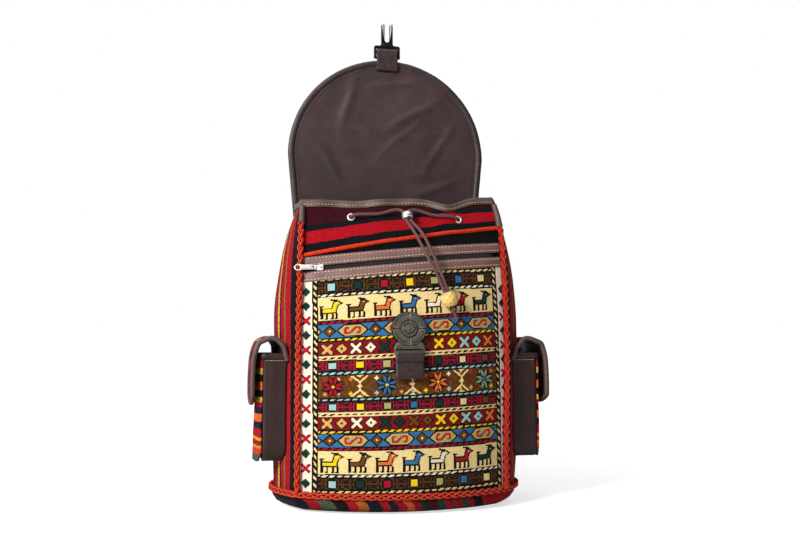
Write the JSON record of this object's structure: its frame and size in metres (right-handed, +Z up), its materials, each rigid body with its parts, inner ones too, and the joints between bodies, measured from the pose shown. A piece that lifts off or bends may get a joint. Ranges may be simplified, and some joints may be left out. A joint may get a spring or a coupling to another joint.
{
  "type": "kilim rucksack",
  "caption": "Standing woven rucksack with a raised leather-lined flap, zipped front pocket, side pockets, drawstring mouth, pronged lock and shoulder straps.",
  "frame": {"origin": "on the ground under the middle of the flat base", "axes": "+Z up, -Y towards the front with the worked panel, +X to the right of someone facing the front"},
  "size_m": [0.3766, 0.2247, 0.6224],
  "materials": {
    "kilim_wool": "flat-woven wool, striped, matt",
    "soumak_wool": "weft-wrapped wool with worked bands, matt",
    "leather": "brown, finely grained, satin",
    "plaited_wool": "plaited wool edging",
    "cotton": "plain dark cotton and zip tape",
    "cord": "round braided cord",
    "nickel": "bright nickel plate",
    "gunmetal": "dark plated die casting",
    "bead_wood": "pale carved bead"
  },
  "bodies": {
    "bag": {"back_panel": "kilim_wool", "back_yoke": "leather", "base_braid": "plaited_wool", "base_panel": "kilim_wool", "bead": "bead_wood", "cord_knot": "cord", "cord_ring": "nickel", "draw_cord_inner": "cord", "draw_cord_left": "cord", "draw_cord_right": "cord", "eyelet_left": "nickel", "eyelet_right": "nickel", "flap_binding": "leather", "flap_cover": "kilim_wool", "flap_lining": "leather", "flap_tab": "leather", "front_panel": "soumak_wool", "front_pocket_lining": "cotton", "grab_handle": "leather", "left_adjuster": "gunmetal", "left_braid": "plaited_wool", "left_braid_cap": "leather", "left_gusset": "kilim_wool", "left_pocket_band": "leather", "left_pocket_binding": "leather", "left_pocket_face": "kilim_wool", "left_pocket_flap": "kilim_wool", "left_strap": "kilim_wool", "left_strap_patch": "leather", "left_strap_tail": "kilim_wool", "lining": "cotton", "lock_strap": "leather", "right_adjuster": "gunmetal", "right_braid": "plaited_wool", "right_braid_cap": "leather", "right_gusset": "kilim_wool", "right_pocket_band": "leather", "right_pocket_binding": "leather", "right_pocket_face": "kilim_wool", "right_pocket_flap": "kilim_wool", "right_strap": "kilim_wool", "right_strap_patch": "leather", "right_strap_tail": "kilim_wool", "rim_binding": "leather", "upper_panel": "kilim_wool", "zip_chain": "cotton", "zip_facing_lower": "leather", "zip_facing_upper": "leather"},
    "zip_slider": {"zip_slider": "nickel"},
    "zip_pull": {"zip_pull": "nickel"},
    "fork": {"fork_buckle": "gunmetal"},
    "lock": {"lock_disc": "gunmetal", "lock_back": "gunmetal", "lock_spring": "nickel"},
    "lock_button": {"lock_button": "gunmetal"}
  },
  "joints": [
    {"name": "zip_run", "type": "hinge", "parent": "bag", "child": "zip_slider", "pos_m": [-0.00573, 0.23611, 0.29438], "axis": [-0.0927, -0.0013, 0.9957], "range_deg": [0, 38.4]},
    {"name": "pull_flip", "type": "hinge", "parent": "zip_slider", "child": "zip_pull", "pos_m": [-0.10424, -0.05861, 0.28611], "axis": [0.0107, 0.3015, 0.9534], "range_deg": [0, 154]},
    {"name": "fork_swing", "type": "hinge", "parent": "bag", "child": "fork", "pos_m": [0, 0.05585, 0.584], "axis": [1, 0, 0], "range_deg": [0, 85]},
    {"name": "lock_lift", "type": "hinge", "parent": "bag", "child": "lock", "pos_m": [0, -0.10352, 0.1839], "axis": [1, 0, 0], "range_deg": [0, 110]},
    {"name": "button_press", "type": "slide", "parent": "lock", "child": "lock_button", "axis": [0, 0.9827, -0.185], "range_m": [0, 0.0016], "stiffness_N_per_m": 400}
  ]
}
